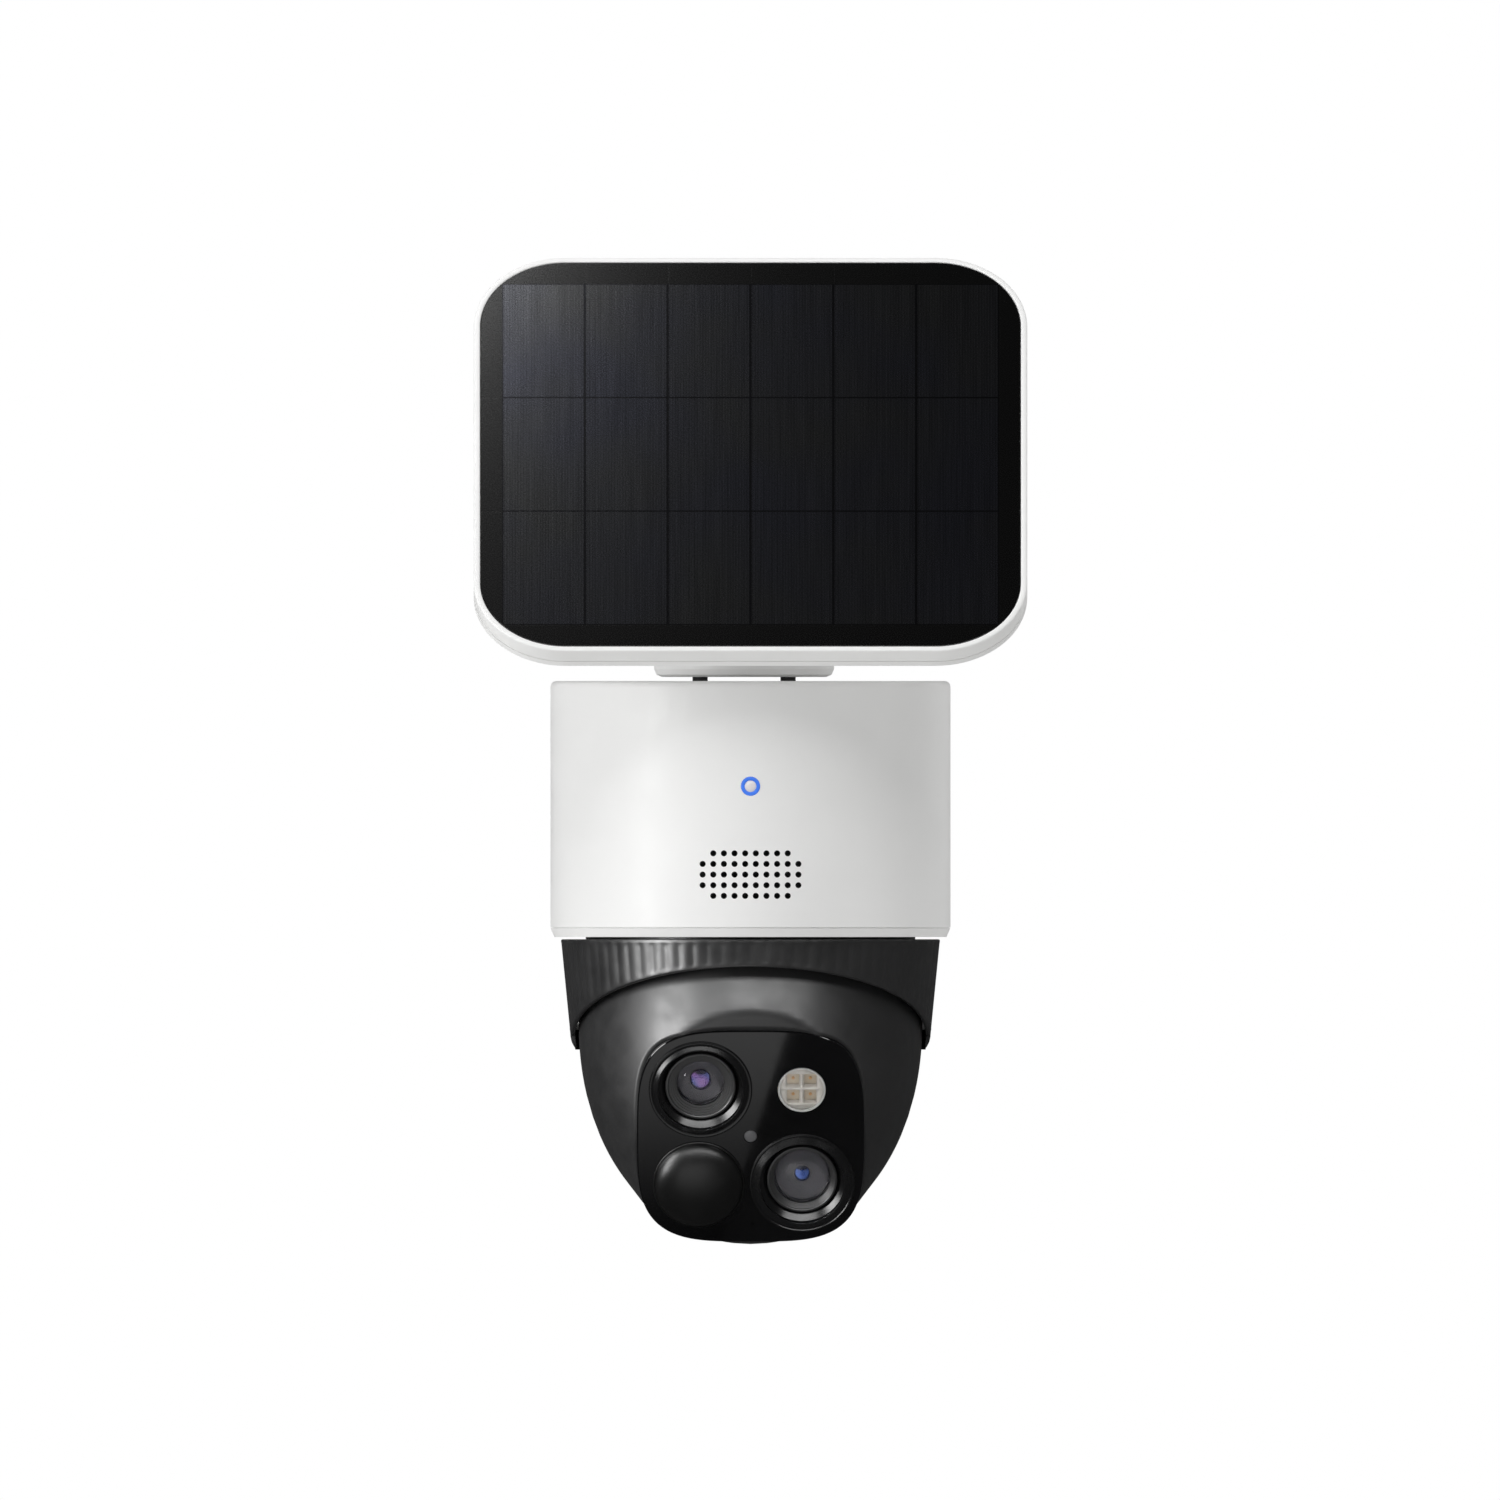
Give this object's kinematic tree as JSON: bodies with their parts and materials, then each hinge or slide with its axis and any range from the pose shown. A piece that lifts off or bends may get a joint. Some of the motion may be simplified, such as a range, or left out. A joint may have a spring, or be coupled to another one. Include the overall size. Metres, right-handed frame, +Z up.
{
  "type": "solar powered security camera",
  "caption": "Wall-mounted pan and tilt security camera: a white housing, a black lens head in a turning hood and a tilting solar panel on a swivel mount.",
  "frame": {"origin": "centre of the wall bracket's hole pattern, on the face that meets the wall", "axes": "+Z up, +Y into the wall along the bracket holes, the lenses face -Y, +X to the viewer's right"},
  "size_m": [0.1384, 0.1245, 0.2467],
  "materials": {
    "housing_white": "satin moulded white",
    "panel_white": "satin moulded white",
    "hood_black": "fine matt moulding",
    "head_black": "semi gloss",
    "face_black": "high gloss",
    "bezel_black": "satin turned ring",
    "barrel_black": "fine matt",
    "lens_glass": "coated",
    "motion_black": "high gloss",
    "clear_cover": "clear",
    "led_amber": "phosphor",
    "sensor_grey": "smoked",
    "light_blue": "lit light pipe",
    "solar_glass": "clear cover sheet",
    "solar_cell": "dark silicon",
    "backsheet_black": "matt",
    "rail_black": "fine matt",
    "steel": "plated",
    "nylon": "natural nylon",
    "board_green": "solder mask",
    "battery_wrap": "shrink wrap",
    "inner_grey": "moulded",
    "inner_black": "moulded",
    "antenna_copper": "etched foil",
    "rubber_black": "matt",
    "rubber_grey": "matt"
  },
  "bodies": {
    "base": {"wall_bracket": "housing_white", "bracket_lock_screw": "steel", "housing_shell": "housing_white", "rear_cover": "housing_white", "rear_gasket": "rubber_black", "bottom_cover": "housing_white", "housing_screws": "steel", "status_light_ring": "light_blue", "speaker": "inner_black", "main_board": "board_green", "battery_cells": "battery_wrap", "battery_cradle": "inner_grey", "wifi_antenna": "antenna_copper", "charge_port": "steel", "power_switch": "inner_black", "pan_motor": "steel", "pan_thrust_ring": "nylon", "panel_rails": "rail_black", "panel_hub": "housing_white", "swivel_seal": "rubber_black"},
    "port_flap": {"port_cover": "rubber_grey"},
    "side_button": {"power_button": "rubber_grey"},
    "pan_drive": {"pan_pinion": "nylon"},
    "panel_arm": {"swivel_arm": "housing_white", "swivel_washer": "steel", "swivel_screw": "steel", "hinge_pin": "steel"},
    "knob": {"clamp_knob": "rail_black"},
    "panel": {"panel_frame": "panel_white", "panel_back_cover": "panel_white", "panel_screws": "steel", "solar_glass": "solar_glass", "solar_cells": "solar_cell", "solar_backsheet": "backsheet_black"},
    "pan_unit": {"pan_hood": "hood_black", "pan_cup": "hood_black", "pan_gear": "nylon", "hood_screws": "steel", "tilt_pivots": "steel", "tilt_gear": "nylon"},
    "head": {"head_front_shell": "head_black", "head_rear_shell": "head_black", "face_plate": "face_black", "wide_lens_bezel": "bezel_black", "wide_lens_barrel": "barrel_black", "wide_lens_glass": "lens_glass", "tele_lens_bezel": "bezel_black", "tele_lens_barrel": "barrel_black", "tele_lens_glass": "lens_glass", "image_boards": "board_green", "motion_lens": "motion_black", "motion_sensor": "steel", "spotlight_cover": "clear_cover", "spotlight_leds": "led_amber", "light_sensor": "sensor_grey", "microphone": "steel", "tilt_bushes": "nylon", "tilt_motor": "steel"},
    "tilt_drive": {"tilt_pinion": "nylon"}
  },
  "joints": [
    {"name": "pan", "type": "hinge", "parent": "base", "child": "pan_unit", "pos_m": [0, -0.059, -0.03], "axis": [0, 0, 1], "range_deg": [-175, 175]},
    {"name": "tilt", "type": "hinge", "parent": "pan_unit", "child": "head", "pos_m": [0, -0.059, -0.05275], "axis": [1, 0, 0], "range_deg": [-15, 28]},
    {"name": "pan_pinion_spin", "type": "hinge", "parent": "base", "child": "pan_drive", "pos_m": [0.03745, -0.02528, -0.026], "axis": [0, 0, 1], "range_deg": [-1225, 1225]},
    {"name": "tilt_pinion_spin", "type": "hinge", "parent": "head", "child": "tilt_drive", "pos_m": [-0.0275, -0.04542, -0.03917], "axis": [1, 0, 0], "range_deg": [-45, 84]},
    {"name": "panel_swivel", "type": "hinge", "parent": "base", "child": "panel_arm", "pos_m": [-0.0016, -0.067, 0.04], "axis": [0, 0, 1], "range_deg": [-170, 170]},
    {"name": "panel_tilt", "type": "hinge", "parent": "panel_arm", "child": "panel", "pos_m": [-0.0016, -0.067, 0.07694], "axis": [-1, 0, 0], "range_deg": [0, 30]},
    {"name": "clamp_knob_turn", "type": "hinge", "parent": "panel_arm", "child": "knob", "pos_m": [0.0154, -0.067, 0.07694], "axis": [1, 0, 0], "range_deg": [0, 270]},
    {"name": "power_button_press", "type": "slide", "parent": "base", "child": "side_button", "axis": [-1, 0, 0], "range_m": [0, 0.0008], "stiffness_N_per_m": 400},
    {"name": "port_cover_hinge", "type": "hinge", "parent": "base", "child": "port_flap", "pos_m": [-0.04297, -0.01603, -0.03125], "axis": [0.7071, 0.7071, 0], "range_deg": [0, 100]}
  ],
  "couplings": [
    {"joint": "pan_pinion_spin", "follows": "pan", "ratio": -7},
    {"joint": "tilt_pinion_spin", "follows": "tilt", "ratio": 3}
  ]
}
